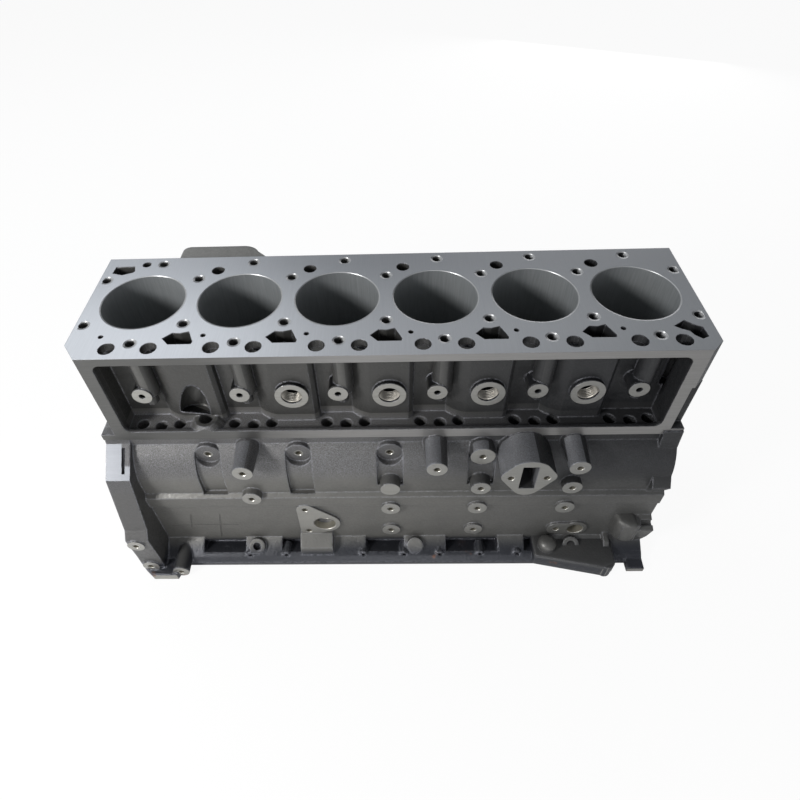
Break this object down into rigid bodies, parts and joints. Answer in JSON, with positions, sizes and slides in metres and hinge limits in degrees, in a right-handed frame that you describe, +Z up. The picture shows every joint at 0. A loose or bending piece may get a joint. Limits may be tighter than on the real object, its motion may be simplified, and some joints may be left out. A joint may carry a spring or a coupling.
{
  "type": "in-line six cylinder engine block",
  "caption": "Bare cast-iron cylinder block of an in-line engine, with an open tappet chamber, pump and filter bosses, bearing caps and core plugs.",
  "frame": {"origin": "crankshaft axis where it leaves the front face", "axes": "+X along the crankshaft towards the flywheel end, +Z up the cylinders to the head face, -Y towards the camshaft side"},
  "size_m": [0.74, 0.323, 0.383],
  "materials": {
    "casting": "rough cast",
    "cap_iron": "rough cast",
    "bolt_steel": "dark oxide",
    "bushing_metal": "turned",
    "plug_steel": "zinc plated"
  },
  "bodies": {
    "root": {"cylinder_block": "casting", "main_bearing_cap_1": "cap_iron", "main_bearing_cap_2": "cap_iron", "main_bearing_cap_3": "cap_iron", "main_bearing_cap_4": "cap_iron", "main_bearing_cap_5": "cap_iron", "main_bearing_cap_6": "cap_iron", "main_bearing_cap_7": "cap_iron", "main_cap_bolts": "bolt_steel", "camshaft_bushing": "bushing_metal", "core_plug_1": "plug_steel", "core_plug_2": "plug_steel", "core_plug_3": "plug_steel", "camshaft_rear_plug": "plug_steel", "rear_core_plug": "plug_steel", "gallery_front_plug": "plug_steel", "gallery_rear_plug": "plug_steel", "jacket_drain_plug": "plug_steel"}
  },
  "joints": []
}
